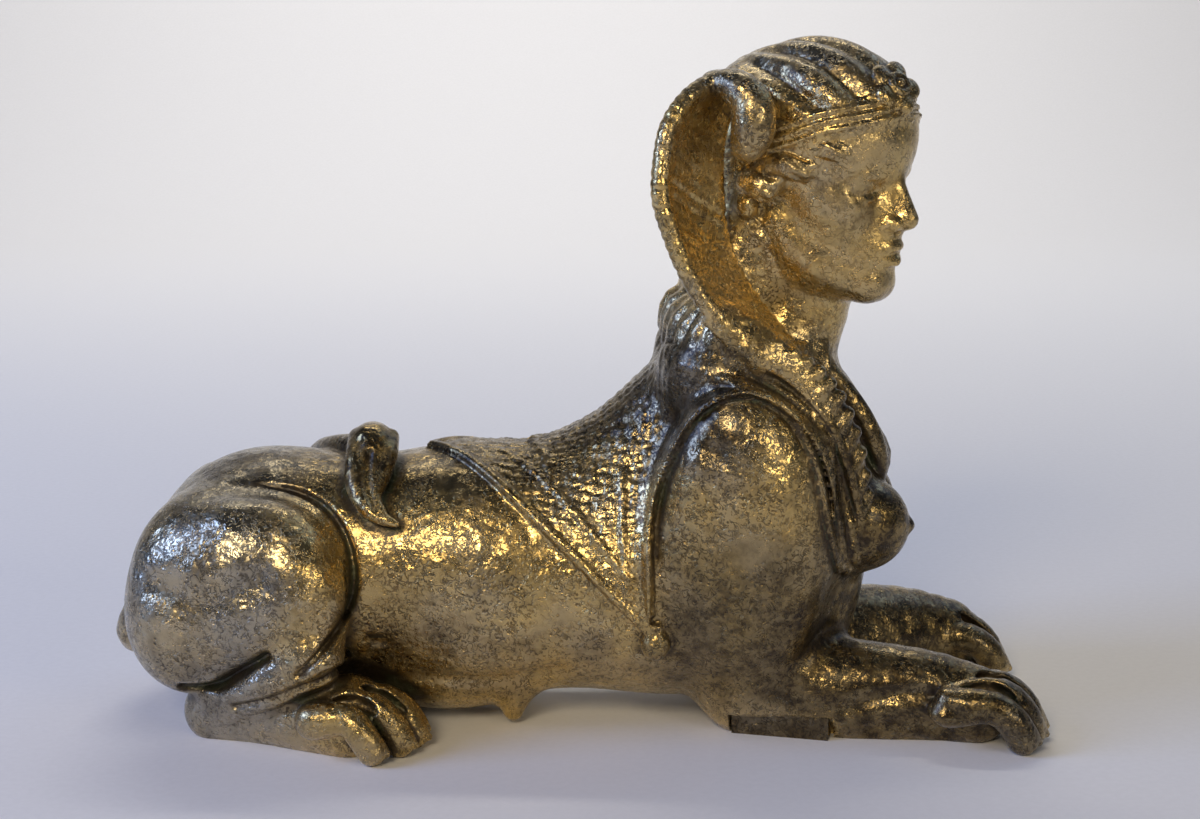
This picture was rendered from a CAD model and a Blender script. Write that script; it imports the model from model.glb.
"""A recumbent sphinx in cast and gilded bronze, rendered on a pale table in soft daylight.

The casting's surface is worked out from the same masses as its solid, on a finer grid, with the
finer relief added. Lengths in the modelling are in millimetres, and everything in Blender in metres.
"""

import math

import bpy
import numpy as np
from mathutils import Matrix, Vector


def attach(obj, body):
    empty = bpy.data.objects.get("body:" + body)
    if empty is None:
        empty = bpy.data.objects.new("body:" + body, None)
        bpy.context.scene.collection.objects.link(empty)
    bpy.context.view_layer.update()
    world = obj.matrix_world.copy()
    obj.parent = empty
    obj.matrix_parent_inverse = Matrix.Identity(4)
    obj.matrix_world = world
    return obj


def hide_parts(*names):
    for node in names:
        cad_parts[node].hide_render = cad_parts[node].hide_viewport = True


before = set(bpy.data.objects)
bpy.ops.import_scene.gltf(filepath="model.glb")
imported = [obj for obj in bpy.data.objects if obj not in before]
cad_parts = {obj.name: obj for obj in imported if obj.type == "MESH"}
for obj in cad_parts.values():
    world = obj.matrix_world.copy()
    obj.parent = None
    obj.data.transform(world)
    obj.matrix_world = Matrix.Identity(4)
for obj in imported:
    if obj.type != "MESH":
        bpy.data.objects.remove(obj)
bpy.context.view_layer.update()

# The photograph's camera: it stands to the figure's right, a little above its head, and looks down
FOCAL_PIXELS = 1960.0
FRAME_WIDTH = 1200.0
CAMERA_PLACE = (0.008, -0.5515, 0.200)
CAMERA_PITCH = 11.3

# Driving dimensions, in millimetres and degrees
HEAD_TURN = 35.0
HEAD_CENTRE = np.array([67.0, -0.5, 157.0])
CLOTH_THICKNESS = 1.3
HEM_WIDTH = 2.6

# The strip let into the right foreleg, and the joint round it
STRIP_LENGTH = 27.5
STRIP_HEIGHT = 6.6
STRIP_DEPTH = 6.0
STRIP_SEAM = 0.35
STRIP_END_GAP = 1.4
STRIP_REAR = (45.5, -21.0)
STRIP_SPLAY = 13.5

# The grid that the casting's surface is worked out on, and the triangles that are kept
GRID_LOW = (-142.0, -58.0, -6.0)
GRID_HIGH = (142.0, 58.0, 201.0)
CELL = 0.75
COARSE_CELLS = 4
TRIANGLES = 190000
MM = 0.001

turn_sine = math.sin(math.radians(-HEAD_TURN))
turn_cosine = math.cos(math.radians(-HEAD_TURN))


def smooth(low, high, v):
    t = np.clip((v - low) / (high - low), 0.0, 1.0)
    return t * t * (3.0 - 2.0 * t)


def mix(a, b, t):
    return a + (b - a) * t


def curve_through(points, count):
    """A smooth curve through control points of any dimension, as count samples."""
    points = np.asarray(points, dtype=float)
    last = len(points) - 1
    along = np.linspace(0.0, last, count)
    k = np.minimum(along.astype(int), last - 1)
    t = (along - k)[:, None]
    a, b, c, d = (points[np.clip(k + o, 0, last)] for o in (-1, 0, 1, 2))
    return 0.5 * (
        2 * b + (c - a) * t + (2 * a - 5 * b + 4 * c - d) * t**2 + (3 * b - a - 3 * c + d) * t**3
    )


class Step:
    """One step of the carving: kind 1 adds a shape, -1 cuts it away, and 0 raises the surface."""

    def __init__(self, kind, place, blend, centre, reach, measure):
        self.kind = kind
        self.in_head = place in ("head", "headPair")
        self.mirrored = place in ("pair", "headPair")
        self.blend = blend
        self.centre = np.asarray(centre, dtype=float)
        self.reach = reach
        self.measure = measure


steps = []


def add(place, blend, *shapes):
    for centre, reach, distance in shapes:
        steps.append(Step(1, place, blend, centre, reach, distance))


def cut(place, blend, *shapes):
    for centre, reach, distance in shapes:
        steps.append(Step(-1, place, blend, centre, reach, distance))


def raise_(place, centre, reach, rise):
    steps.append(Step(0, place, 0.0, centre, reach, rise))


def lump(centre, radii, turn=(0, 0, 0)):
    """An ellipsoid, turned by degrees about x, y and z."""
    radii = np.asarray(radii, dtype=float)
    ax, ay, az = (math.radians(a) for a in turn)
    rx = np.array([[1, 0, 0], [0, math.cos(ax), -math.sin(ax)], [0, math.sin(ax), math.cos(ax)]])
    ry = np.array([[math.cos(ay), 0, math.sin(ay)], [0, 1, 0], [-math.sin(ay), 0, math.cos(ay)]])
    rz = np.array([[math.cos(az), -math.sin(az), 0], [math.sin(az), math.cos(az), 0], [0, 0, 1]])
    axes = rx @ ry @ rz

    def distance(p):
        local = (p - np.asarray(centre)) @ axes / radii
        near = np.sqrt(np.einsum("ij,ij->i", local, local))
        slope = np.sqrt(np.einsum("ij,ij->i", local / radii, local / radii))
        return np.where(slope < 1e-9, -radii.min(), near * (near - 1.0) / np.maximum(slope, 1e-9))

    return centre, radii.max(), distance


def limb(points, pieces=None, flat=None):
    """A tapered tube through points (x, y, z, radius); flat = (normal, factor) thins it along a normal."""
    pieces = pieces or 3 * (len(points) - 1)
    path = curve_through(points, pieces + 1)
    middle = (path[:, :3].min(0) + path[:, :3].max(0)) / 2
    reach = (np.linalg.norm(path[:, :3] - middle, axis=1) + path[:, 3]).max()
    if flat:
        normal = np.asarray(flat[0], dtype=float)
        normal = normal / np.linalg.norm(normal)
        factor = flat[1]

    def distance(p):
        least = np.full(len(p), np.inf)
        for a, b in zip(path[:-1], path[1:]):
            along = b[:3] - a[:3]
            offset = p - a[:3]
            t = np.clip(offset @ along / (along @ along), 0.0, 1.0)
            gap = offset - t[:, None] * along
            radius = a[3] + t * (b[3] - a[3])
            square = np.einsum("ij,ij->i", gap, gap)
            if flat:
                out = gap @ normal
                rest = square - out * out
                near = np.sqrt(np.maximum(rest + (factor * out) ** 2, 1e-12))
                d = (near - radius) * near / np.sqrt(np.maximum(rest + factor**4 * out * out, 1e-12))
            else:
                d = np.sqrt(square) - radius
            np.minimum(least, d, out=least)
        return least

    return middle, reach, distance


def trace(points, pieces=None):
    """The distance in the plane of two axes to a smooth line, for raised or sunk lines on a surface."""
    path = curve_through(points, (pieces or 4 * (len(points) - 1)) + 1)

    def gap(u, v):
        least = np.full(np.shape(u), np.inf)
        for (au, av), (bu, bv) in zip(path[:-1], path[1:]):
            du, dv = bu - au, bv - av
            t = np.clip(((u - au) * du + (v - av) * dv) / (du * du + dv * dv), 0.0, 1.0)
            np.minimum(least, (u - au - t * du) ** 2 + (v - av - t * dv) ** 2, out=least)
        return np.sqrt(least)

    return gap


def into_head(p):
    h = p - HEAD_CENTRE
    forward = h[:, 0] * turn_cosine + h[:, 1] * turn_sine
    left = h[:, 1] * turn_cosine - h[:, 0] * turn_sine
    return np.stack([forward, left, h[:, 2]], axis=1)


def from_head(forward, left, up):
    return HEAD_CENTRE + np.array(
        [forward * turn_cosine - left * turn_sine, forward * turn_sine + left * turn_cosine, up]
    )


# Relief acts this close to the surface, a shape counts this far out, and points are taken in blocks
RELIEF_REACH = 7.0
NEAR_SURFACE = 4.0
BLOCK = 14.0


def steps_within(middle, radius):
    """The steps that matter inside a ball."""
    head = into_head(middle[None])[0]
    found = []
    for step in steps:
        place = np.array(head if step.in_head else middle)
        if step.mirrored:
            place[1] = abs(place[1])
        far = np.linalg.norm(place - step.centre) - step.reach
        if far < radius + (step.blend + NEAR_SURFACE if step.kind else 0.0):
            found.append(step)
    return found


def figure_field(p, within=None):
    """The distance from each point to the figure's surface, negative inside."""
    head = into_head(p)
    plain = {False: p, True: head}
    mirrored = {key: np.column_stack([q[:, 0], np.abs(q[:, 1]), q[:, 2]]) for key, q in plain.items()}
    d = np.full(len(p), 1e3)
    for step in steps if within is None else within:
        q = (mirrored if step.mirrored else plain)[step.in_head]
        offset = q - step.centre
        far = np.sqrt(np.einsum("ij,ij->i", offset, offset)) - step.reach
        if step.kind == 0:
            near = np.nonzero((far < 0) & (np.abs(d) < RELIEF_REACH))[0]
            if len(near):
                d[near] -= step.measure(q[near])
            continue
        k = step.blend
        near = np.nonzero(far <= step.kind * d + k)[0]
        if not len(near):
            continue
        value = step.kind * d[near]
        other = step.measure(q[near])
        h = np.maximum(k - np.abs(value - other), 0.0) / k
        d[near] = step.kind * (np.minimum(value, other) - h * h * k / 4)
    return d


def field_at(points):
    """The field at many points, block by block, with only the steps that matter in each block."""
    values = np.empty(len(points))
    keys = np.floor(points / BLOCK).astype(int)
    order = np.lexsort(keys.T)
    breaks = np.nonzero(np.any(np.diff(keys[order], axis=0), axis=1))[0] + 1
    for chosen in np.split(order, breaks):
        part = points[chosen]
        middle = (part.min(0) + part.max(0)) / 2
        radius = np.linalg.norm(part - middle, axis=1).max()
        values[chosen] = figure_field(part, steps_within(middle, radius))
    return values


def skin(x, z):
    """How far out the right side of the carving so far lies at a given x and z."""
    y = 60.0
    for _ in range(24):
        y -= 0.85 * figure_field(np.array([[x, -y, z]]))[0]
    return y


def when(condition, amount):
    return np.where(condition, amount, 0.0)


def ridge(gap, width):
    return np.exp(-((gap / width) ** 2))


def hem(gap, width=HEM_WIDTH):
    return np.exp(-((gap / (width / 2)) ** 4))


def groove(points, centre, reach, outside, depth, width):
    """A soft groove down both sides, along a line through points (x, z)."""
    gap = trace(points)

    def sink(q):
        return when(q[:, 1] > outside, -depth * ridge(gap(q[:, 0], q[:, 2]), width))

    raise_("pair", centre, reach, sink)


def carve_trunk():
    """Rump, barrel, rib cage, withers and chest, with a drawn-in waist and a crease along the flank."""
    add("whole", 1, lump([-86, 0, 44], [37, 33, 34.5]))
    add("whole", 16, lump([-28, 0, 42.4], [62, 34, 37]))
    add("whole", 14, lump([28, 0, 44.5], [42, 35, 38.5]))
    add("whole", 10, limb([[2, 0, 60, 20], [21, 0, 73, 20], [38, 0, 90, 19], [51, 0, 104, 15]]))
    add("whole", 8, lump([57, 0, 63], [31, 31, 38]))
    add("whole", 8, lump([60, 0, 36], [23, 21, 24]))
    cut("pair", 16, lump([-45, 49, 28], [19, 14, 21]))
    add("whole", 8, lump([-38, 0, 16.2], [27, 21, 14]))
    add("pair", 5, limb([[-15, 12, 17, 7], [-16.5, 13, 9, 4.6], [-17, 13.5, 4, 2.9]]))
    groove([[-42, 18], [-22, 17], [-3, 20.5]], [-22, 24, 18], 24, 8, 1.3, 2.6)


def carve_bust():
    """Breasts, and locks of hair that fall between the lappets."""
    add("pair", 5, lump([79.8, 15.5, 60.5], [15.5, 12.5, 14], [0, 8, 0]))
    add("pair", 1.5, lump([94, 16.6, 60], [2.6, 2.2, 2.2]))
    chest_side = [
        [38, 14, 104, 13], [52, 17, 101, 12.5], [63, 18, 92, 12],
        [69, 16, 80, 11.5], [72, 13, 66, 10],
    ]
    add("pair", 6, limb(chest_side))
    for i in range(3):
        y = 3 + 4.4 * i
        fall = [
            [70, y, 105, 3],
            [77.5, y + 1, 96, 3.2],
            [83.2, y + 0.6, 87, 3.2],
            [88.6 - i, y, 78, 2.8],
            [88.5 - i, y, 70, 1.4],
        ]
        add("pair", 1.4, limb(fall))


TOES = 4
TOE_SPACING = 5.7


def carve_paw(x, y, splay, size, stagger):
    """One paw of four toes: a chain over each knuckle, down to a claw, with hollows between them."""
    side = math.copysign(1, y)

    def place(behind, off, up, radius):
        back = size * (behind + stagger * (1.5 * off * off + 2.5 * off + 1.9))
        return [x - back, y + side * off * TOE_SPACING * size, up * size, radius * size]

    for i in range(TOES):
        off = i - (TOES - 1) / 2
        arch = 0.8 * (2.25 - off * off)
        out = off + splay * (off + 0.6) / TOE_SPACING
        toe = [
            place(26, 0.72 * off, 11.5, 5.6),
            place(14, off, 12.6 + arch, 4.5),
            place(7.5, out, 9 + 0.6 * arch, 4.4),
            place(4.6, out, 4.2, 4.3),
        ]
        add("whole", 0.7, limb(toe, 8))
        add("whole", 0.8, limb([place(2.8, out, 6.2, 1.9), place(0.2, out, 3.2, 1)]))
    for i in range(1, TOES):
        off = i - TOES / 2
        arch = 0.8 * (2.25 - off * off)
        behind = place(23, 0.8 * off, 15.8, 0.7)
        between = place(15, off, 15.9 + arch, 2)
        cut("whole", 0.9, limb([behind, between, place(6, off, 10.4 + arch, 0.8)]))


def carve_forelegs():
    add("pair", 9, lump([48.5, 28.5, 61], [23.5, 15.5, 42], [-7, -4, 0]))
    add("pair", 8, lump([51, 17.5, 17], [15.5, 11, 18]))
    right = [
        [50, -11, 12, 14], [67, -15, 11.5, 15.6], [84, -18, 11, 15],
        [100, -20.5, 10.8, 13.4], [113, -24, 9.5, 11.5],
    ]
    left = [
        [50, 11, 12, 15], [67, 16, 13, 18], [84, 23.5, 13, 17.5],
        [100, 29.5, 12.5, 15.5], [114, 33, 11, 12.5],
    ]
    add("whole", 6, limb(right, 10, ([0.18, 0.98, 0], 1.22)), limb(left, 10, ([-0.26, 0.96, 0], 1.22)))
    for y in (-27.5, 35):
        carve_paw(135.2, y, 0.5, 1.05, 0.5)
    # Two long hollows between the bones and sinews of the forearm
    upper = [[76, 10], [88, 14], [99, 14.6], [106, 12.6]]
    lower = [[84, 3.6], [92, 6.2], [100, 6.2], [105, 3.6]]
    for hollow in (trace(upper), trace(lower)):

        def sink(q, hollow=hollow):
            outside = q[:, 1] > 12 + (q[:, 0] - 70) * 0.2
            return when(outside, -1.3 * ridge(hollow(q[:, 0], q[:, 2]), 2.2))

        raise_("pair", [92, 27, 10], 24, sink)
    # A soft furrow down the upper arm, and a dent on the shoulder
    groove([[38, 74], [43, 61], [50, 46], [55, 36]], [46, 40, 56], 32, 20, 1.2, 5)
    dent = [39, 40, 86]

    def dip(q):
        return -1.1 * np.exp(-((q[:, 0] - dent[0]) ** 2 + (q[:, 2] - dent[2]) ** 2) / 14)

    raise_("pair", dent, 14, dip)


THIGH_FOLD = [
    [-108, 69],
    [-96, 71.6],
    [-84, 71.2],
    [-75, 69.3],
    [-67.6, 65.4],
    [-62.2, 58.6],
    [-60, 50],
    [-61, 42],
    [-65.6, 34],
    [-74, 25],
]


def carve_hindlegs():
    add("pair", 12, lump([-103, 23.5, 43], [20.5, 18.5, 26.5]))
    add("pair", 9, lump([-106.5, 24, 33], [16, 14, 18]))
    add("pair", 2.5, lump([-89.5, 28, 45.5], [28, 17, 25.5]))
    add("pair", 2.5, lump([-75, 32.5, 44], [14, 12.5, 20], [0, -12, 0]))
    add("pair", 3, limb([[-71, 37, 28, 9], [-84, 33.5, 20, 8], [-98, 26, 12, 7]]))
    add("pair", 3, limb([
        [-101, 19, 6.5, 9.6], [-88, 23, 6.5, 9], [-75, 28, 8, 10.5], [-62, 32.5, 9, 12],
    ], 9))
    for side in (1, -1):
        carve_paw(-38.5, 35.6 * side, 0.9, 0.98, 1)
    fold = trace(THIGH_FOLD)

    def sink(q):
        depth = 1.8 * smooth(-100, -64, q[:, 0]) + 0.3
        return when(q[:, 1] > 12, -depth * ridge(fold(q[:, 0], q[:, 2]), 1.2))

    raise_("pair", [-84, 36, 48], 46, sink)
    # Slots under the thigh and behind the shin, and a soft hollow across the haunch
    groove([[-83, 29], [-90, 24], [-98, 18.5], [-108, 18]], [-94, 34, 23], 22, 18, 2.2, 1.5)
    groove([[-93, 13], [-81, 17.6], [-72, 22], [-64, 25]], [-78, 34, 19], 20, 18, 1.8, 1.4)
    groove([[-112, 48], [-98, 45], [-84, 51]], [-97, 40, 48], 24, 26, 2, 5)
    # The knee's worn flat
    cut("pair", 1.5, lump([-61, 57, 52], [7, 14, 11], [0, 0, 20]))


def carve_tail():
    """The tail leaves the rump, goes round the left haunch and lays its tuft over the back."""
    tail = [
        [-117, 0, 46, 5],
        [-124, 1, 34, 5.2],
        [-129.4, 4, 22.5, 5.4],
        [-126, 16, 17, 5],
        [-118, 31, 18, 4.6],
        [-107, 41, 25, 4.3],
        [-96, 44.5, 40, 4],
        [-85, 40, 57, 3.8],
        [-77, 28, 70, 3.8],
        [-70, 14, 75.5, 3.8],
        [-60, 1, 78.5, 4],
    ]
    add("whole", 2, limb(tail, 36))
    add("whole", 1.5, lump([-56.6, -7, 81.4], [6.3, 8, 6.2]))
    add("whole", 1.5, limb([
        [-56.4, -12, 80, 4.6], [-57.2, -17, 75.4, 4], [-56.2, -22, 70.4, 3], [-53.6, -26, 66.6, 2],
    ], 9))
    left = [
        [-61, -6, 83, 2.6],
        [-60.5, -14, 79, 3],
        [-60, -20.5, 72.6, 3],
        [-56.5, -25.5, 67.4, 2.6],
        [-52, -28, 64.8, 1.9],
        [-48, -29, 63.4, 0.9],
    ]
    right = [
        [-51.5, -6, 83, 2.4], [-51.8, -13, 79, 2.8], [-53.4, -19, 73.6, 2.6],
        [-55, -23.5, 69.6, 2.2], [-52, -27, 66.4, 1.2],
    ]
    for lock in (left, right):
        add("whole", 0.8, limb(lock, 12))
    # Small hollows in the tuft, and a parting between its locks
    cut("whole", 0.6, lump([-60.2, -14.6, 84.4], [1.9, 1.9, 1.5]))
    cut("whole", 0.6, lump([-52.6, -14.8, 84.2], [1.7, 1.7, 1.4]))
    cut("whole", 0.8, limb([
        [-56.4, -17, 81, 1], [-56.6, -22.4, 76, 1.9], [-55, -27, 70, 1.3], [-52.6, -29.4, 66.4, 0.5],
    ], 9))


# The saddle cloth, in the plane (x along the body, s along its girth from the spine)
BARREL_AXIS = 43.0
BARREL_RADIUS = 36.0
CLOTH_TIP = np.array([20.0, 66.0])
CLOTH_TAIL = np.array([-42.0, 0.0])
CLOTH_FRONT = 22.0
ARMHOLE_FOOT = 60.0
CLOTH_END = 72.0
CLOTH_TOP = 112.0
ARMHOLE = [
    [22, 40], [21.6, 63.6], [26.5, 83], [35.5, 98], [48.2, 101.8],
    [59.2, 96], [66.5, 82.3], [70, 66], [74.5, 50],
]
STRAPS = [
    [[29.7, 107.4], [43.4, 104.7], [56.1, 99.2], [66.3, 89.6], [72.1, 74.9], [74.5, 60], [77, 48]],
    [[47, 108.5], [57.3, 102.3], [67.4, 92.7], [74, 77.5], [77, 63], [79, 52]],
]
LAPPET_REAR = [[36.8, 120.6], [47.4, 113.5], [58.6, 105], [68.8, 94.3], [75.1, 81.7], [79.3, 67], [81, 60]]
LAPPET_FRONT = [
    [47.2, 119.9], [57.4, 112.7], [65.9, 107.2], [72.8, 99],
    [78.1, 87], [81.5, 72.5], [82, 61.5],
]


def girth(y, z):
    return BARREL_RADIUS * np.arctan2(np.abs(y), z - BARREL_AXIS)


def under_shoulder(x, z):
    return ((x - 47) / 25) ** 2 + ((z - 60) / 41.5) ** 2 < 1


armhole_line = trace(ARMHOLE, 22)


def cloth_place(q):
    """How far inside the saddle cloth a point lies from its rear and front edges, and its girth."""
    x, z = q[:, 0], q[:, 2]
    s = girth(q[:, 1], z)
    edge = CLOTH_TIP - CLOTH_TAIL
    rear = ((x - CLOTH_TAIL[0]) * edge[1] - (s - CLOTH_TAIL[1]) * edge[0]) / np.hypot(*edge)
    over = armhole_line(x, z) * np.where(under_shoulder(x, z), -1.0, 1.0)
    front = np.where(z > ARMHOLE_FOOT, over, CLOTH_FRONT - x)
    front = np.where((x > CLOTH_END) | (z > CLOTH_TOP), -9.0, front)
    return rear, front, s


# Raised lines of the cloth's tooling, in x and the girth
CLOTH_LINES = (
    [[-20.4, 7], [-4, 25], [15.5, 50]],
    [[-12, 1], [-8, 11], [-6, 20]],
    [[14, 22], [14.4, 38], [15.5, 55]],
)

# The rows of curls between them
CURL_WIDTH = 3.4
CURL_LENGTH = 3.1
CURL_SWAY = 5.8
CURL_HEIGHT = 0.26


def tooling(q):
    """Rows of small curls chased along the cloth, beside its lines and hems."""
    rear, front, s = cloth_place(q)
    inside = smooth(2.6, 4.2, np.minimum(rear, front))
    along = q[:, 0] * 0.62 + s * 0.78
    across = rear + 0.5 * np.sin(along * 0.8)
    sway = 1.2 * np.sin(along * 2 * math.pi / CURL_SWAY)
    curl = np.sin(across * 2 * math.pi / CURL_WIDTH + sway) * np.sin(along * 2 * math.pi / CURL_LENGTH)
    return inside * CURL_HEIGHT * curl


def carve_cloth():
    def rise(q):
        rear, front, s = cloth_place(q)
        inside = np.minimum(rear, front)
        lines = np.maximum(hem(rear - 1.4), when(q[:, 2] <= ARMHOLE_FOOT, hem(front - 1.4)))
        height = CLOTH_THICKNESS * smooth(-0.6, 0.6, inside) + when(inside > 0, 0.8 * lines)
        return when((q[:, 0] <= CLOTH_END) & (q[:, 2] <= CLOTH_TOP), height)

    raise_("whole", [5, 0, 62], 84, rise)
    raise_("pair", [46, 32, 70], 50, lambda q: when(q[:, 1] > 12, 1.3 * hem(armhole_line(q[:, 0], q[:, 2]))))
    for points in CLOTH_LINES:
        line = trace(points)

        def rise_line(q, line=line):
            return when(q[:, 1] > 1, 0.55 * hem(line(q[:, 0], girth(q[:, 1], q[:, 2])), 1.8))

        raise_("pair", [4, 24, 60], 44, rise_line)
    raise_("pair", [14, 20, 66], 64, tooling)
    for strap in STRAPS:
        line = trace(strap, 18)
        raise_("pair", [56, 30, 80], 40, lambda q, line=line: when(q[:, 1] > 10, hem(line(q[:, 0], q[:, 2]))))


def carve_tassel():
    x = CLOTH_TIP[0] + 3
    add("pair", 0.8, lump([x, skin(x, 36) - 0.4, 35.6], [2.8, 2.6, 1.5]))
    add("pair", 0.8, lump([x + 0.3, skin(x, 30.5) + 0.6, 30.6], [4.2, 3.9, 5]))


# The head, in its own frame: forward, left and up from its centre. The hair's flutes spread from a
# pole at the back of the crown, and the locks beside the face are combed into strands.
CROWN_POLE = (-0.82, 0.57)
CROWN_FLUTES = 9
STRANDS = 6
LOCK_SAMPLES = 19
LOCK_TWIST = math.pi * 4.4


def band_height(forward):
    return 19 + (forward - 27) * 0.3


def carve_head():
    add("whole", 6, limb([[47, 0, 90, 24], [56, 0, 106, 17.5], [63, 0, 120, 15.5], [63, 0, 134, 15.5]]))
    add("head", 5, lump([-3, 0, 9], [28.5, 21.5, 25]))
    add("head", 7, lump([8, 0, -9], [17.5, 17, 24]))
    add("head", 6, lump([12, 0, 12], [13.5, 17, 15]))
    add("headPair", 5, limb([[-1, 15, -12, 5], [8, 12, -23, 5], [19, 3, -28.5, 5]]))
    add("head", 4, lump([19.5, 0, -28.4], [6, 6.4, 5.6]))
    add("headPair", 6, lump([12.5, 12, -5], [9, 6.5, 8]))
    # Brow, eye and lids
    cut("headPair", 2.6, lump([26.6, 10.6, -0.8], [7.2, 7.2, 4.8]))
    add("headPair", 2, limb([
        [24.6, 2.6, 4.2, 1.9], [24.4, 7.6, 6.6, 2], [20.6, 13.4, 6, 2.1], [15.6, 17.4, 2.6, 1.8],
    ]))
    add("headPair", 0.4, lump([18.2, 9.8, -1.4], [5.6, 6, 4.8]))
    upper_lid = [
        [22.2, 4.4, -2.2, 0.9],
        [24.4, 7.2, 1, 1.3],
        [23.6, 11.2, 1.7, 1.35],
        [20.6, 14.2, 0.1, 1.1],
        [17.8, 16, -2.2, 0.8],
    ]
    lower_lid = [
        [22.2, 4.6, -2.6, 0.75], [23.5, 7.6, -4.7, 0.95],
        [22.3, 11.4, -5, 0.95], [19.1, 14.8, -3, 0.75],
    ]
    add("headPair", 0.4, limb(upper_lid, 12), limb(lower_lid, 9))
    # Nose, straight from the brow
    add("head", 3, limb([[20.5, 0, 7, 4], [22, 0, 0, 4.4], [23.5, 0, -7, 5], [24, 0, -11.5, 5.4]]))
    add("head", 2.4, limb([[23.4, 0, 8, 2.4], [26, 0, 0, 2.3], [29, 0, -7, 2.5], [30.4, 0, -10.8, 2.9]]))
    add("headPair", 1.2, lump([26.8, 3.5, -12], [3.3, 2.1, 2.3]))
    cut("headPair", 0.6, lump([27.6, 2.2, -14.6], [1.5, 0.9, 0.9]))
    # Mouth and chin
    add("head", 4, lump([20, 0, -19], [7, 8.6, 6.6]))
    add("headPair", 0.9, limb([[27.4, 0, -18.4, 1.3], [26.2, 3.4, -18.5, 1.3], [22.6, 7.4, -20.2, 0.5]], 6))
    add("headPair", 0.9, limb([[26.8, 0, -22.4, 1.6], [25.4, 3.2, -22.1, 1.4], [22.6, 6.8, -20.6, 0.5]], 6))
    # Hair over the skull, in flutes that spread from the back of the crown to the band
    add("head", 2, lump([1.2, 0, 12], [29.5, 24, 25.4]))

    def flutes(q):
        u, v, w = q.T
        across = u * CROWN_POLE[1] - (w - 8) * CROWN_POLE[0]
        swell = np.abs(np.cos(np.arctan2(v, across) * CROWN_FLUTES)) - 0.6
        return smooth(0.5, 2.5, w - band_height(u) - 2.5) * 2.1 * swell

    raise_("head", [0, 0, 14], 40, flutes)

    def band(q):
        off = q[:, 2] - band_height(q[:, 0])
        strands = np.cos((off + 0.3 * np.sin(q[:, 0] * 0.31)) * 2 * math.pi / 2.6)
        return smooth(4.9, 4.1, np.abs(off)) * (0.75 + 0.42 * strands)

    raise_("head", [0, 0, 12], 40, band)
    # Twisted locks below the band, from the parting to over the ear
    parting = [[26, 1, 15.5], [24, 8, 12.5], [18, 15.6, 9.4], [9, 20, 5.4], [0, 22.4, 1], [-7, 22.6, -4]]
    core = curve_through(parting, LOCK_SAMPLES)
    share = np.arange(LOCK_SAMPLES) / (LOCK_SAMPLES - 1)
    swell = mix(1.6, 3.2, share)
    for phase in (0, math.pi):
        turn = phase + share * LOCK_TWIST
        across = np.cos(turn) * swell * 0.6
        shift = np.stack([across, across, np.sin(turn) * swell], axis=1)
        add("headPair", 0.9, limb(np.column_stack([core + shift, swell + 0.2]), LOCK_SAMPLES - 1))
        # Each lock is combed into finer strands that lie along it
        for strand in range(STRANDS):
            round_it = turn * 0.5 + strand / STRANDS * 2 * math.pi
            side = np.cos(round_it)
            out = (swell + 0.3)[:, None] * np.stack([0.5 * side, 0.62 * side, 0.8 * np.sin(round_it)], axis=1)
            path = np.column_stack([core + shift + out, 0.36 * swell + 0.3])
            add("headPair", 0.45, limb(path, LOCK_SAMPLES - 1))
    # Ear below the locks
    add("headPair", 3, lump([-4, 14, -9], [8, 5, 9]))
    add("headPair", 1, lump([-4.6, 18, -10], [4.4, 2, 6.6], [0, 10, 0]))
    helix = [
        [-0.8, 19, -6, 1],
        [-4, 20, -3.4, 1.2],
        [-8.2, 20.4, -5.6, 1.3],
        [-9, 20.2, -10, 1.2],
        [-6.6, 19.8, -14.6, 1.3],
        [-3.8, 19.2, -16.4, 1.7],
    ]
    add("headPair", 0.5, limb(helix, 12))
    add("headPair", 0.6, lump([-1.4, 18.6, -10.6], [1.3, 1.5, 2]))
    cut("headPair", 0.6, lump([-4.4, 20.2, -9.4], [2.4, 1.5, 3.8]))
    carve_rosette()


PETALS = 5
RING_POINTS = 8
ROSETTE_LEAN = 32
ROSETTE_FACING = 16


def carve_rosette():
    """Petals, a ring and a bead on a disc that leans back and faces a little to one side."""
    centre = (26.6, -3.4, 24.4)
    lean = math.radians(ROSETTE_LEAN)
    facing = math.radians(ROSETTE_FACING)

    def on_disc(out, turn, proud):
        rise = math.sin(turn) * out
        across = math.cos(turn) * out
        ahead = proud * math.cos(facing) + across * math.sin(facing)
        return [
            centre[0] + ahead * math.cos(lean) - rise * math.sin(lean),
            centre[1] + across * math.cos(facing) - proud * math.sin(facing),
            centre[2] + ahead * math.sin(lean) + rise * math.cos(lean),
        ]

    flat = [0, -ROSETTE_LEAN, -ROSETTE_FACING]
    for i in range(PETALS):
        at = on_disc(4.9, (i + 0.75) / PETALS * 2 * math.pi, 0.8)
        add("head", 0.4, lump(at, [1.9, 3.3, 3.3], flat))
    ring = [[*on_disc(2.7, i / RING_POINTS * 2 * math.pi, 2.6), 1] for i in range(RING_POINTS + 1)]
    add("head", 0.4, lump(on_disc(0, 0, 1.4), [1.7, 2.8, 2.8], flat))
    add("head", 0.3, limb(ring, 16))
    add("head", 0.3, lump(on_disc(0, 0, 2.9), [1.4, 1.4, 1.4]))


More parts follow.
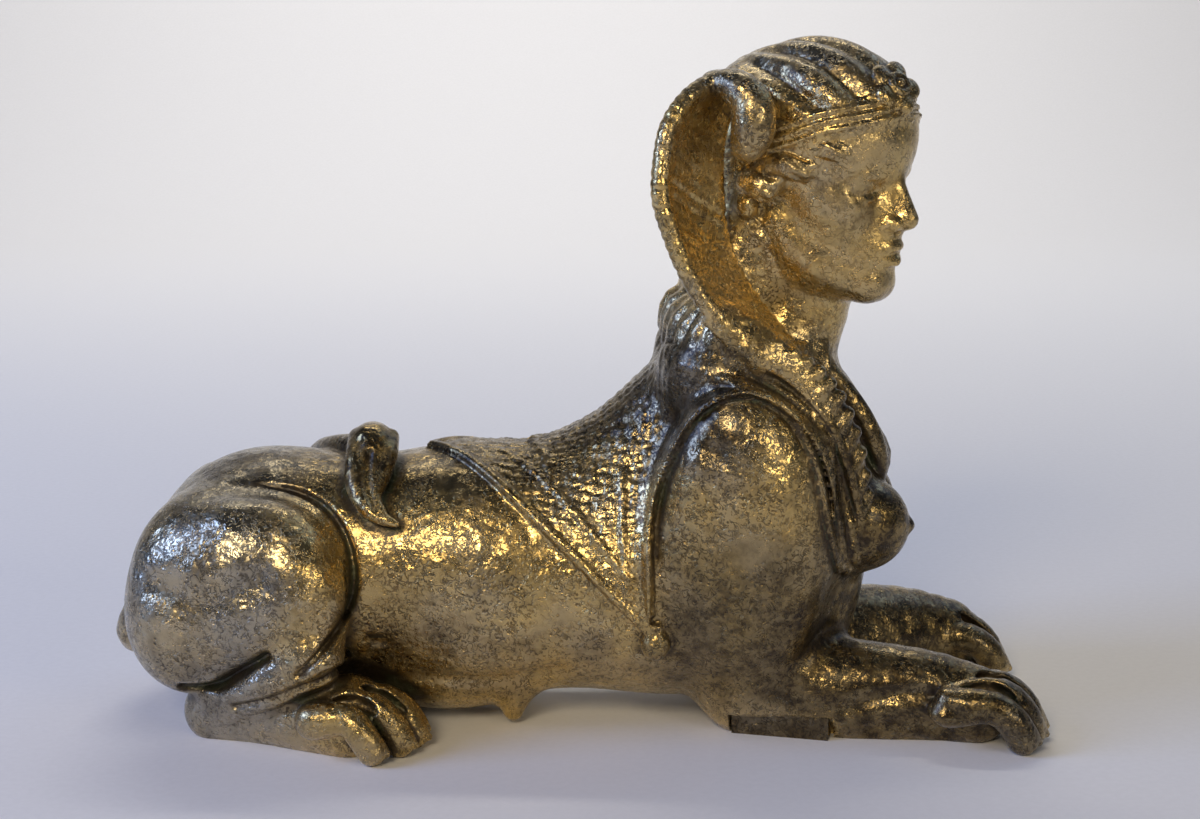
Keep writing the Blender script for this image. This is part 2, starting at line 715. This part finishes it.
# The headcloth: a pleated shell behind each ear, from a roll at the crown to the lappets
SHELL_RIM = [
    [44.6, -17, 184],
    [38.4, -22, 183.4],
    [31.6, -27, 179.4],
    [26.4, -31, 172.4],
    [24.4, -33, 163.5],
    [24, -34, 153.5],
    [27, -34, 143.5],
    [31, -33.5, 134],
    [36.5, -33, 125],
    [43, -33, 117.5],
]
SHELL_ROOT = [
    [48, -15, 182],
    [43, -15, 178],
    [40, -15.5, 171],
    [39, -16, 162],
    [39.4, -16.5, 152],
    [40.6, -16.5, 142],
    [43.6, -16.5, 133],
    [49, -18, 124.5],
    [55, -20.5, 117],
    [60, -23, 111],
]
PLEATS = 24
CORD_TWISTS = 34


def other_side(place):
    """The same place on the other side: turned part of the way with the head, square below."""
    place = np.asarray(place, dtype=float)
    forward, left, up = into_head(place[None])[0]
    plain = place * [1, -1, 1]
    return mix(plain, from_head(forward, -left, up), 0.4 * smooth(118, 150, place[2]))


def carve_headcloth():
    hood = [[55, 3, 174, 17], [53, 3, 164, 17.5], [52, 3, 150, 17], [49, 2, 134, 17], [45, 0, 120, 16]]
    add("whole", 3, limb(hood, 8))
    add("pair", 5, lump([43, 21, 105], [15, 12, 17]))
    rim = curve_through(SHELL_RIM, PLEATS)
    root = curve_through(SHELL_ROOT, PLEATS)
    for i in range(PLEATS):
        hollow = 1.6 * math.sin(math.pi * (i + 1) / (PLEATS + 2))
        bend = mix(root[i], rim[i], 0.5) + [-hollow * 0.8, hollow, 0]
        rib = [root[i], bend, rim[i]]
        for places in (rib, [other_side(p) for p in rib]):
            radii = (2.8, 2.5, 2.4)
            blend = 1.8 if i < PLEATS / 2 else 0.8
            add("whole", blend, limb([[*p, r] for p, r in zip(places, radii)], 4))
    # The rim is edged with a twisted cord
    cord = curve_through(SHELL_RIM, 2 * CORD_TWISTS + 1)
    for side in (cord, [other_side(p) for p in cord]):
        add("whole", 0.5, limb([[*p, 1.9 + 0.75 * (i % 2)] for i, p in enumerate(side)], 4 * CORD_TWISTS))
    roll = [[38, -21, 183], [44, -25, 182], [48, -27.5, 177.5], [48.6, -28, 171.5], [47.4, -27, 167]]
    thickness = (3.2, 4.8, 5.8, 6, 4.8)
    for path in (roll, [other_side(p) for p in roll]):
        add("whole", 0.8, limb([[*p, r] for p, r in zip(path, thickness)], 12))
    carve_nape()
    carve_lappets()


NAPE_TOP = [
    [40, 0, 125], [40, -10, 124.5], [40, -16, 124],
    [42, -22, 123], [45, -26, 120.5], [49, -28.5, 117.5],
]
NAPE_HEM = [
    [27.5, 0, 115], [27.8, -9, 113], [29, -16, 109],
    [33.5, -23, 105.5], [42, -28.5, 104.5], [51, -31, 106.5],
]
NAPE_LOCKS = 9


def carve_nape():
    """Hair gathered under the headcloth, fanned out in locks at the nape."""
    tops = curve_through(NAPE_TOP, NAPE_LOCKS)
    ends = curve_through(NAPE_HEM, NAPE_LOCKS)
    for i in range(NAPE_LOCKS):
        bulge = mix(tops[i], ends[i], 0.5) + [-4 + 0.25 * i, -0.35 * i, 1.5]
        for flip in (1, -1):
            lock = [[*(p * [1, flip, 1]), r] for p, r in ((tops[i], 4), (bulge, 3.6), (ends[i], 3))]
            add("whole", 0.9, limb(lock, 6))


SCALLOPS = 15


def carve_lappets():
    """Pleated lappets that taper down the chest: a cord behind, scallops in front."""
    depths = (33, 33, 32, 30.5, 28.5, 26.5, 25.5)
    widths = (5.6, 5.8, 5, 4.2, 3.6, 2.8, 1.6)
    band = [
        [(rx + fx) / 2, depth - 1.5, (rz + fz) / 2, width]
        for (rx, rz), (fx, fz), depth, width in zip(LAPPET_REAR, LAPPET_FRONT, depths, widths)
    ]
    add("pair", 1.5, limb(band, 16, ([0.4, 0.85, 0.3], 2)))
    add("pair", 0.7, limb([[x, depth + 0.6, z, 1.5] for (x, z), depth in zip(LAPPET_REAR, depths)], 16))
    front = curve_through([[x, depth - 1.6, z] for (x, z), depth in zip(LAPPET_FRONT, depths)], SCALLOPS)
    for place in front:
        add("pair", 0.6, lump(place, [2.1, 1.9, 2.1]))
    # Pleats run across from the cord to the scallops
    rear = curve_through([[x, depth, z] for (x, z), depth in zip(LAPPET_REAR, depths)], SCALLOPS)
    for a, b in zip(rear, front):
        add("pair", 0.7, limb([[*a, 1.5], [*mix(a, b, 0.5), 2], [*b, 1.7]], 4))


carve_trunk()
carve_forelegs()
carve_hindlegs()
carve_bust()
carve_cloth()
carve_tassel()
carve_head()
carve_headcloth()
carve_tail()


def corners_of(array, join):
    """Joins the values at the eight corners of every cell."""
    halves = (slice(None, -1), slice(1, None))
    found = array[:-1, :-1, :-1]
    for a in halves:
        for b in halves:
            for c in halves:
                found = join(found, array[a, b, c])
    return found


def grid_values(low, high):
    """The field on the fine grid, worked out only where the coarse grid comes close to the surface."""
    ratio = COARSE_CELLS
    coarse_count = np.ceil((high - low) / (ratio * CELL)).astype(int) + 1
    index = np.stack(np.meshgrid(*[np.arange(n) for n in coarse_count], indexing="ij"), axis=-1)
    rough = field_at(low + index.reshape(-1, 3) * ratio * CELL).reshape(coarse_count)

    def spread(cells):
        for axis in range(3):
            cells = np.repeat(cells, ratio, axis=axis)
        return cells

    close = spread(corners_of(np.abs(rough) < 1.7 * ratio * CELL, np.logical_or))
    solid = spread(corners_of(rough < 0, np.logical_and))
    shape = tuple(ratio * (coarse_count - 1) + 1)
    needed = np.zeros(shape, dtype=bool)
    for offset in np.ndindex(2, 2, 2):
        needed[tuple(slice(o, o + n) for o, n in zip(offset, close.shape))] |= close
    values = np.full(shape, 9.0, dtype=np.float32)
    values[: solid.shape[0], : solid.shape[1], : solid.shape[2]][solid] = -9.0
    where = np.argwhere(needed)
    values[tuple(where.T)] = field_at(low + where * CELL)
    return values


def surface_points(values, inside, low):
    """One vertex in each cell that the surface crosses, and the grid of the vertices' numbers."""
    crossed = corners_of(inside, np.logical_or) & ~corners_of(inside, np.logical_and)
    cells = np.argwhere(crossed)
    number = np.full(crossed.shape, -1, dtype=np.int64)
    number[tuple(cells.T)] = np.arange(len(cells))
    total = np.zeros((len(cells), 3))
    weight = np.zeros(len(cells))
    for axis in range(3):
        for start in np.ndindex(2, 2, 2):
            if start[axis]:
                continue
            near = np.array(start)
            far = near + np.eye(3, dtype=int)[axis]
            a = values[tuple((cells + near).T)].astype(float)
            b = values[tuple((cells + far).T)].astype(float)
            cut_through = (a < 0) != (b < 0)
            t = np.where(cut_through, a / np.where(cut_through, a - b, 1.0), 0.0)
            total += np.where(cut_through[:, None], near + t[:, None] * (far - near), 0.0)
            weight += cut_through
    return low + (cells + total / weight[:, None]) * CELL, number


def surface_quads(inside, number):
    """A face for each step of the grid that the surface crosses, turned to face out."""
    quads = []
    for axis in range(3):
        one, two = (axis + 1) % 3, (axis + 2) % 3
        first = tuple(slice(None, -1) if i == axis else slice(None) for i in range(3))
        second = tuple(slice(1, None) if i == axis else slice(None) for i in range(3))
        at = np.argwhere(inside[first] != inside[second])
        ring = []
        for back_one, back_two in ((0, 0), (1, 0), (1, 1), (0, 1)):
            cell = at.copy()
            cell[:, one] -= back_one
            cell[:, two] -= back_two
            ring.append(number[tuple(cell.T)])
        quad = np.stack(ring, axis=1)
        turned = ~inside[tuple(at.T)]
        quad[turned] = quad[turned][:, ::-1]
        quads.append(quad)
    return np.concatenate(quads)


def figure_mesh():
    low = np.array(GRID_LOW)
    values = grid_values(low, np.array(GRID_HIGH))
    inside = values < 0
    vertices, number = surface_points(values, inside, low)
    return vertices, surface_quads(inside, number)


def slope_at(points, values, step=0.12):
    """The field's slope at each point."""
    ahead = [field_at(points + step * np.eye(3)[i]) - values for i in range(3)]
    return np.stack(ahead, axis=1) / step


def settle(vertices):
    """Moves each vertex onto the field's surface, and gives the outward direction there."""
    values = field_at(vertices)
    slope = slope_at(vertices, values)
    square = np.maximum(np.einsum("ij,ij->i", slope, slope), 0.3)
    move = -(values / square)[:, None] * slope
    length = np.linalg.norm(move, axis=1, keepdims=True)
    vertices = vertices + move * np.minimum(1.0, 0.5 * CELL / np.maximum(length, 1e-9))
    normals = slope / np.maximum(np.linalg.norm(slope, axis=1, keepdims=True), 1e-9)
    return vertices, normals


def hollow_at(vertices, normals):
    """How deep in a hollow each vertex lies, from how fast the field opens out in front of it."""

    def closed_in(out):
        return np.clip(1.0 - field_at(vertices + out * normals) / out, 0, 1)

    z = vertices[:, 2]
    cleaned = 0.55 * smooth(106, 118, z) * smooth(184, 178, z)
    return np.clip(0.55 * closed_in(1.6) + 0.75 * closed_in(3.8), 0, 1) * (1 - cleaned)


def worn_at(vertices):
    """1 where the gilding is worn to grey metal: the haunch, the upper back and the hair's crown."""
    x, y, z = vertices.T
    haunch = smooth(-62, -92, x)
    back = np.exp(-(((x - 26) / 24) ** 2) - ((z - 98) / 18) ** 2)
    crown = smooth(176, 190, z)
    paw = smooth(108, 124, x) * smooth(0, -8, y)
    return np.clip(haunch + back + 0.7 * crown + 0.5 * paw, 0, 1)


def dark_at(vertices):
    """1 where the brown-black patina is thick: forelegs, bust, back, and the flank before the thigh."""
    x, _, z = vertices.T
    foreleg = 1.5 * smooth(50, 80, x) * smooth(46, 30, z) * smooth(136, 122, x)
    bust = 1.2 * smooth(64, 78, x) * smooth(30, 44, z) * smooth(116, 98, z)
    arm = 0.85 * smooth(16, 32, x) * smooth(84, 40, z) * smooth(6, 16, z)
    rump = 0.95 * smooth(62, 76, z) * smooth(20, -10, x)
    withers = 1.1 * smooth(76, 92, z) * smooth(56, 42, x) * smooth(120, 110, z)
    flank = 0.75 * np.exp(-(((x + 50) / 14) ** 2) - ((z - 28) / 18) ** 2)
    crown = 0.5 * smooth(172, 186, z)
    return np.clip(foreleg + bust + arm + rump + withers + flank + crown, 0, 1)


def face_at(vertices):
    """1 on the face and neck, which were filed smoother than the rest."""
    head = into_head(vertices)
    front = smooth(2.0, 12.0, head[:, 0] + 0.25 * np.abs(head[:, 1]))
    return front * smooth(-46.0, -34.0, head[:, 2]) * smooth(16.0, 10.0, head[:, 2] - 0.2 * (head[:, 0] - 20))


def add_attribute(mesh, name, values):
    attribute = mesh.attributes.new(name, "FLOAT", "POINT")
    attribute.data.foreach_set("value", values.astype(np.float32))


def outer_surface(vertices, quads):
    """The largest connected surface, without small hollows closed in under the folds."""
    label = np.arange(len(vertices))
    while True:
        least = label[quads].min(axis=1)
        lower = label.copy()
        for corner in range(4):
            np.minimum.at(lower, quads[:, corner], least)
        lower = lower[lower]
        if np.array_equal(lower, label):
            break
        label = lower
    kept = label == np.bincount(label).argmax()
    number = np.cumsum(kept) - 1
    return vertices[kept], number[quads[kept[quads[:, 0]]]]


def cut_notch(piece):
    """Cuts the place in the foreleg that the strip sits in, with a joint on every side."""
    low = (-STRIP_SEAM, -60.0, -60.0)
    high = (STRIP_LENGTH + STRIP_END_GAP, STRIP_DEPTH, STRIP_HEIGHT + STRIP_SEAM)
    sides = list(zip(low, high))
    points = [(x * MM, y * MM, z * MM) for x in sides[0] for y in sides[1] for z in sides[2]]
    faces = [(0, 1, 3, 2), (4, 6, 7, 5), (0, 4, 5, 1), (2, 3, 7, 6), (0, 2, 6, 4), (1, 5, 7, 3)]
    mesh = bpy.data.meshes.new("notch")
    mesh.from_pydata(points, [], faces)
    block = bpy.data.objects.new("notch", mesh)
    block.location = (STRIP_REAR[0] * MM, STRIP_REAR[1] * MM, 0.0)
    block.rotation_euler = (0.0, 0.0, math.radians(-STRIP_SPLAY))
    bpy.context.scene.collection.objects.link(block)
    cutter = piece.modifiers.new("notch", "BOOLEAN")
    cutter.operation = "DIFFERENCE"
    cutter.solver = "EXACT"
    cutter.object = block
    apply_modifiers(piece)
    bpy.data.objects.remove(block)
    bpy.data.meshes.remove(mesh)


def apply_modifiers(piece):
    bpy.context.view_layer.update()
    shape = piece.evaluated_get(bpy.context.evaluated_depsgraph_get())
    made = bpy.data.meshes.new_from_object(shape)
    piece.modifiers.clear()
    before = piece.data
    piece.data = made
    bpy.data.meshes.remove(before)


def make_casting():
    vertices, quads = outer_surface(*figure_mesh())
    vertices, normals = settle(vertices)
    looks = {
        "hollow": hollow_at(vertices, normals),
        "face": face_at(vertices),
        "worn": worn_at(vertices),
        "dark": dark_at(vertices),
    }
    vertices[:, 2] = np.maximum(vertices[:, 2], 0.0)
    mesh = bpy.data.meshes.new("casting")
    mesh.from_pydata((vertices * MM).tolist(), [], quads.tolist())
    mesh.update()
    for name, values in looks.items():
        add_attribute(mesh, name, values)
    mesh.polygons.foreach_set("use_smooth", np.ones(len(quads), dtype=bool))
    piece = bpy.data.objects.new("casting", mesh)
    bpy.context.scene.collection.objects.link(piece)
    thin = piece.modifiers.new("thin", "DECIMATE")
    thin.ratio = min(1.0, TRIANGLES / (2 * len(quads)))
    thin.use_collapse_triangulate = True
    apply_modifiers(piece)
    cut_notch(piece)
    return piece


class Nodes:
    """A short way to write a material's nodes."""

    def __init__(self, name):
        self.material = bpy.data.materials.new(name)
        self.material.use_nodes = True
        self.tree = self.material.node_tree
        self.shader = self.tree.nodes["Principled BSDF"]
        coordinates = self.tree.nodes.new("ShaderNodeTexCoord")
        scaled = self.tree.nodes.new("ShaderNodeMapping")
        scaled.inputs["Scale"].default_value = (1000, 1000, 1000)
        self.tree.links.new(coordinates.outputs["Object"], scaled.inputs["Vector"])
        self.millimetres = scaled.outputs["Vector"]

    def put(self, socket, value):
        if isinstance(value, bpy.types.NodeSocket):
            self.tree.links.new(value, socket)
        else:
            socket.default_value = value

    def noise(self, size, detail=2.0, roughness=0.5, distortion=0.0):
        node = self.tree.nodes.new("ShaderNodeTexNoise")
        self.put(node.inputs["Vector"], self.millimetres)
        node.inputs["Scale"].default_value = 1.0 / size
        node.inputs["Detail"].default_value = detail
        node.inputs["Roughness"].default_value = roughness
        node.inputs["Distortion"].default_value = distortion
        return node.outputs["Fac"]

    def cells(self, size):
        node = self.tree.nodes.new("ShaderNodeTexVoronoi")
        self.put(node.inputs["Vector"], self.millimetres)
        node.inputs["Scale"].default_value = 1.0 / size
        return node.outputs["Distance"]

    def math(self, operation, a, b=0.0, clamp=False):
        node = self.tree.nodes.new("ShaderNodeMath")
        node.operation = operation
        node.use_clamp = clamp
        self.put(node.inputs[0], a)
        self.put(node.inputs[1], b)
        return node.outputs["Value"]

    def span(self, value, low, high, to_low=0.0, to_high=1.0):
        node = self.tree.nodes.new("ShaderNodeMapRange")
        node.interpolation_type = "SMOOTHSTEP"
        self.put(node.inputs["Value"], value)
        for name, number in (("From Min", low), ("From Max", high), ("To Min", to_low), ("To Max", to_high)):
            self.put(node.inputs[name], number)
        return node.outputs["Result"]

    def blend(self, amount, a, b):
        node = self.tree.nodes.new("ShaderNodeMix")
        node.data_type = "RGBA"
        self.put(node.inputs[0], amount)
        self.put(node.inputs[6], a)
        self.put(node.inputs[7], b)
        return node.outputs[2]

    def attribute(self, name):
        node = self.tree.nodes.new("ShaderNodeAttribute")
        node.attribute_name = name
        return node.outputs["Fac"]

    def bump(self, height):
        """Height is in millimetres."""
        node = self.tree.nodes.new("ShaderNodeBump")
        node.inputs["Strength"].default_value = 1.0
        node.inputs["Distance"].default_value = MM
        self.put(node.inputs["Height"], height)
        self.put(self.shader.inputs["Normal"], node.outputs["Normal"])


# The metal's colours
GILT = (0.64, 0.46, 0.18, 1)
WORN = (0.42, 0.37, 0.27, 1)
BROWN = (0.075, 0.052, 0.024, 1)
PATINA = (0.028, 0.017, 0.008, 1)
VERDIGRIS = (0.045, 0.06, 0.032, 1)
STRIP_METAL = (0.34, 0.26, 0.13, 1)


def gilt_bronze(name, gilt, attributes):
    """Pitted bronze under worn gilding. The mesh's attributes say where it's hollow, filed, worn or dark."""
    n = Nodes(name)
    hollow = n.attribute("hollow") if attributes else 0.1
    face = n.attribute("face") if attributes else 0.0
    worn = n.attribute("worn") if attributes else 0.3
    dark = n.attribute("dark") if attributes else 0.9
    # Short winding crevices and round pits left by the mould
    wander = n.math("ABSOLUTE", n.math("SUBTRACT", n.noise(1.9, 2.0, 0.6, 0.9), 0.5))
    crevice = n.span(wander, 0.01, 0.06, 1.0, 0.0)
    crevice = n.math("MULTIPLY", crevice, n.span(n.noise(2.1, 1.0), 0.36, 0.5))
    crevice = n.math("MULTIPLY", crevice, n.span(n.noise(16.0, 2.0), 0.26, 0.52))
    pit = n.span(n.cells(2.6), 0.10, 0.25, 1.0, 0.0)
    pit = n.math("MULTIPLY", pit, n.span(n.noise(6.0, 1.0), 0.52, 0.62))
    broken = n.math("MAXIMUM", crevice, pit)
    broken = n.math("MULTIPLY", broken, n.span(face, 0.0, 1.0, 1.0, 0.45))
    lumps = n.math("MULTIPLY", n.noise(2.6, 2.0, 0.55), n.span(face, 0.0, 1.0, 0.36, 0.2))
    swell = n.math("MULTIPLY", n.noise(7.5, 2.0), n.span(face, 0.0, 1.0, 1.3, 0.5))
    grain = n.math("MULTIPLY", n.noise(0.55, 2.0, 0.6), 0.07)
    fine = n.math("SUBTRACT", grain, n.math("MULTIPLY", broken, 0.3))
    n.bump(n.math("ADD", n.math("ADD", lumps, swell), fine))
    # Dark patina in the hollows and pits, worn through to pale metal on the high places
    dirt = n.math("ADD", n.span(hollow, 0.2, 0.75), n.math("MULTIPLY", broken, 0.6))
    dirt = n.math("ADD", dirt, n.span(n.noise(9.0, 4.0, 0.65), 0.42, 0.78, 0.0, 0.5), clamp=True)
    green = n.math("MULTIPLY", n.span(hollow, 0.6, 1.0), n.span(n.noise(11.0), 0.42, 0.6))
    stain = n.blend(green, PATINA, VERDIGRIS)
    patchy = n.span(n.noise(20.0, 3.0), 0.35, 0.65, -0.15, 0.35)
    grey = n.math("ADD", n.math("MULTIPLY", worn, 0.8), patchy, clamp=True)
    metal = n.blend(grey, gilt, WORN)
    film = n.math("MULTIPLY", dark, n.span(n.noise(5.0, 4.0, 0.7), 0.36, 0.58, 1.0, 0.62))
    metal = n.blend(film, metal, BROWN)
    n.put(n.shader.inputs["Base Color"], n.blend(n.math("MULTIPLY", dirt, 0.9), metal, stain))
    n.put(n.shader.inputs["Metallic"], n.span(dirt, 0.6, 1.0, 1.0, 0.8))
    shine = n.math("ADD", n.span(n.noise(4.0, 2.0), 0.3, 0.7, 0.17, 0.30), n.math("MULTIPLY", dirt, 0.22))
    n.put(n.shader.inputs["Roughness"], shine)
    n.shader.inputs["Coat Weight"].default_value = 0.4
    n.shader.inputs["Coat Roughness"].default_value = 0.28
    return n.material


def plain_material(name, colour, roughness):
    n = Nodes(name)
    speckle = n.span(n.noise(2.2, 3.0, 0.6), 0.3, 0.7)
    duller = tuple(c * 0.97 for c in colour[:3]) + (1,)
    n.put(n.shader.inputs["Base Color"], n.blend(speckle, colour, duller))
    n.shader.inputs["Roughness"].default_value = roughness
    n.shader.inputs["Specular IOR Level"].default_value = 0.25
    return n.material


# The pale sheet's sizes in metres, and its colour
FLOOR_SIDE = 4.0
FLOOR_FLAT_END = 1.2
FLOOR_CURVE = 0.9
FLOOR_STEPS = 24
WALL_TOP = 3.0
PALE_SHEET = (0.74, 0.745, 0.78, 1)


def make_floor():
    """A pale sheet that lies under the figure and rises in a wide curve well behind it."""
    profile = [(-FLOOR_SIDE, 0.0), (FLOOR_FLAT_END, 0.0)]
    for i in range(1, FLOOR_STEPS + 1):
        turn = i / FLOOR_STEPS * math.pi / 2
        profile.append((FLOOR_FLAT_END + FLOOR_CURVE * math.sin(turn), FLOOR_CURVE * (1 - math.cos(turn))))
    profile.append((FLOOR_FLAT_END + FLOOR_CURVE, WALL_TOP))
    points = [(x, y, z) for y, z in profile for x in (-FLOOR_SIDE, FLOOR_SIDE)]
    faces = [(2 * i, 2 * i + 1, 2 * i + 3, 2 * i + 2) for i in range(len(profile) - 1)]
    mesh = bpy.data.meshes.new("floor")
    mesh.from_pydata(points, [], faces)
    mesh.polygons.foreach_set("use_smooth", np.ones(len(faces), dtype=bool))
    floor = bpy.data.objects.new("floor", mesh)
    bpy.context.scene.collection.objects.link(floor)
    floor.data.materials.append(plain_material("pale sheet", PALE_SHEET, 0.75))


def make_light(name, place, size, power, colour, at=(0.0, 0.0, 0.09)):
    data = bpy.data.lights.new(name, "AREA")
    data.shape = "RECTANGLE"
    data.size, data.size_y = size
    data.energy = power
    data.color = colour
    light = bpy.data.objects.new(name, data)
    light.location = place
    light.rotation_euler = (Vector(at) - Vector(place)).to_track_quat("-Z", "Y").to_euler()
    bpy.context.scene.collection.objects.link(light)


def make_camera():
    data = bpy.data.cameras.new("camera")
    data.sensor_width = 36.0
    data.lens = FOCAL_PIXELS / FRAME_WIDTH * data.sensor_width
    data.clip_start = 0.01
    camera = bpy.data.objects.new("camera", data)
    camera.location = CAMERA_PLACE
    camera.rotation_euler = (math.radians(90 - CAMERA_PITCH), 0, 0)
    bpy.context.scene.collection.objects.link(camera)
    bpy.context.scene.camera = camera


def make_room():
    """Blue daylight from the left and behind, a warm lamp above the camera, and a dim room."""
    make_light("window", (-1.2, -0.35, 0.75), (0.6, 0.8), 12, (0.34, 0.50, 1.0))
    make_light("lamp", (-0.35, -1.1, 0.8), (0.45, 0.35), 7.4, (1.0, 0.82, 0.54))
    make_light("low lamp", (0.7, -0.85, 0.4), (0.3, 0.3), 2.0, (1.0, 0.86, 0.62), (0.05, 0.0, 0.15))
    make_light("skylight", (0.9, 0.6, 1.1), (0.8, 0.8), 2, (0.50, 0.68, 1.0))
    make_light("wall lamp", (-0.1, 0.9, 1.5), (1.2, 0.5), 24, (1.0, 0.95, 0.84), (0.0, 2.0, 0.4))
    world = bpy.data.worlds.new("room")
    world.use_nodes = True
    background = world.node_tree.nodes["Background"]
    background.inputs["Color"].default_value = (0.72, 0.80, 1.0, 1)
    background.inputs["Strength"].default_value = 0.06
    bpy.context.scene.world = world
    bpy.context.scene.view_settings.view_transform = "Standard"


make_camera()
make_floor()
make_room()

casting = make_casting()
casting.data.materials.append(gilt_bronze("gilt bronze", GILT, True))
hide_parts("sphinx_casting")
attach(casting, "root")

strip = bpy.data.objects["elbow_strip"]
strip_metal = gilt_bronze("strip bronze", STRIP_METAL, False)
if strip.material_slots:
    strip.material_slots[0].material = strip_metal
else:
    strip.data.materials.append(strip_metal)
